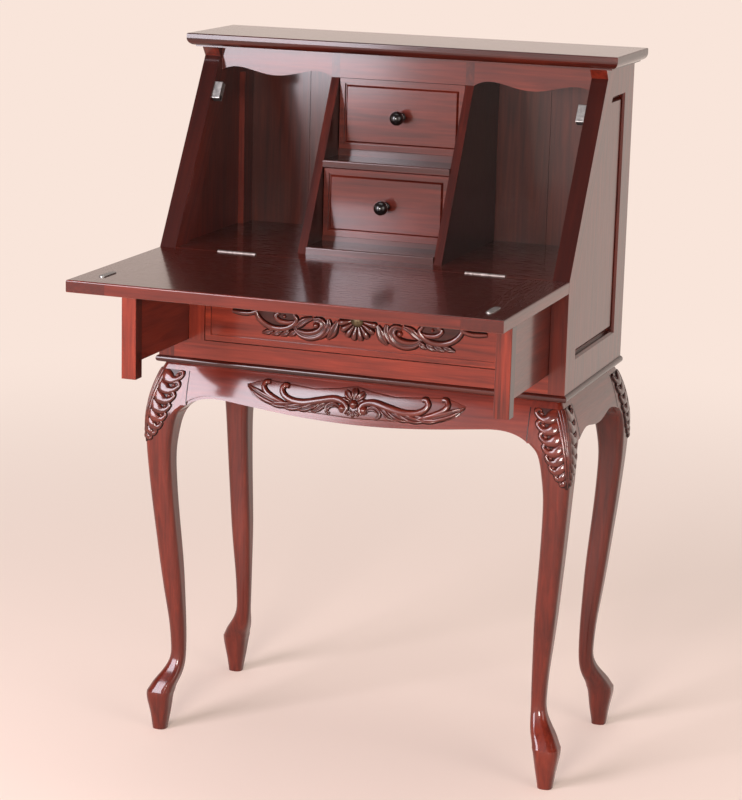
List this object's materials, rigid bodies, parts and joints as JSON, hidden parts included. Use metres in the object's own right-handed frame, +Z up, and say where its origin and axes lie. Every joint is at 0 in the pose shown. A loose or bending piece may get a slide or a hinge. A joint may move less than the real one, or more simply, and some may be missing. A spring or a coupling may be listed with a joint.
{
  "type": "secretary desk",
  "caption": "Small fall-front secretary desk on cabriole legs, with pull-out lopers, a long drawer and a nest of small drawers between pigeonholes.",
  "frame": {"origin": "on the floor, midway across and midway between the open lid's front edge and the rearmost point of the rear knees", "axes": "+X to the right of a person sitting at the desk, +Y from the person into the case, +Z up"},
  "size_m": [0.648, 0.6179, 1.0263],
  "materials": {
    "mahogany": "satin lacquer over red-brown mahogany",
    "drawer_wood": "plain secondary wood",
    "knob_wood": "dark gloss lacquer",
    "brass": "polished",
    "steel": "plated screws",
    "black_plastic": "moulded"
  },
  "bodies": {
    "case": {"right_side_frame": "mahogany", "left_side_frame": "mahogany", "side_panels": "mahogany", "top_board": "mahogany", "writing_floor": "mahogany", "case_bottom": "drawer_wood", "back_boards": "mahogany", "front_bottom_rail": "mahogany", "front_stiles": "mahogany", "loper_walls": "drawer_wood", "loper_runners": "drawer_wood", "drawer_runners": "drawer_wood", "drawer_guides": "drawer_wood", "stand_top_board": "mahogany", "front_right_leg": "mahogany", "front_left_leg": "mahogany", "rear_right_leg": "mahogany", "rear_left_leg": "mahogany", "front_apron": "mahogany", "side_aprons": "mahogany", "rear_apron": "drawer_wood", "corner_blocks": "drawer_wood", "corner_screws": "steel", "partitions": "mahogany", "side_valances": "mahogany", "centre_valance": "mahogany", "unit_base": "mahogany", "unit_shelf": "mahogany", "small_drawer_rails": "mahogany", "small_drawer_runners": "drawer_wood", "hinge_case_leaves": "brass", "hinge_pins": "brass", "case_hinge_screws": "steel", "catch_bodies": "steel", "catch_rollers": "black_plastic"},
    "lid": {"lid_board": "mahogany", "lid_right_end": "mahogany", "lid_left_end": "mahogany", "hinge_lid_leaves": "brass", "lid_hinge_screws": "steel", "catch_strikes": "brass"},
    "left_loper": {"left_loper_board": "mahogany", "left_loper_block": "mahogany"},
    "right_loper": {"right_loper_board": "mahogany", "right_loper_block": "mahogany"},
    "main_drawer": {"main_drawer_front": "mahogany", "main_drawer_sides": "drawer_wood", "main_drawer_back": "drawer_wood", "main_drawer_bottom": "drawer_wood", "main_drawer_knob": "brass"},
    "upper_drawer": {"upper_drawer_front": "mahogany", "upper_drawer_sides": "drawer_wood", "upper_drawer_back": "drawer_wood", "upper_drawer_bottom": "drawer_wood", "upper_drawer_knob": "knob_wood"},
    "lower_drawer": {"lower_drawer_front": "mahogany", "lower_drawer_sides": "drawer_wood", "lower_drawer_back": "drawer_wood", "lower_drawer_bottom": "drawer_wood", "lower_drawer_knob": "knob_wood"}
  },
  "joints": [
    {"name": "lid_hinge", "type": "hinge", "parent": "case", "child": "lid", "pos_m": [0, -0.008, 0.732], "axis": [-1, 0, 0], "range_deg": [0, 120.7]},
    {"name": "left_loper_slide", "type": "slide", "parent": "case", "child": "left_loper", "axis": [0, 1, 0], "range_m": [0, 0.1597]},
    {"name": "right_loper_slide", "type": "slide", "parent": "case", "child": "right_loper", "axis": [0, 1, 0], "range_m": [0, 0.1597]},
    {"name": "main_drawer_slide", "type": "slide", "parent": "case", "child": "main_drawer", "axis": [0, 1, 0], "range_m": [-0.19, 0]},
    {"name": "upper_drawer_slide", "type": "slide", "parent": "case", "child": "upper_drawer", "axis": [0, 1, 0], "range_m": [-0.075, 0]},
    {"name": "lower_drawer_slide", "type": "slide", "parent": "case", "child": "lower_drawer", "axis": [0, 1, 0], "range_m": [-0.11, 0]}
  ]
}
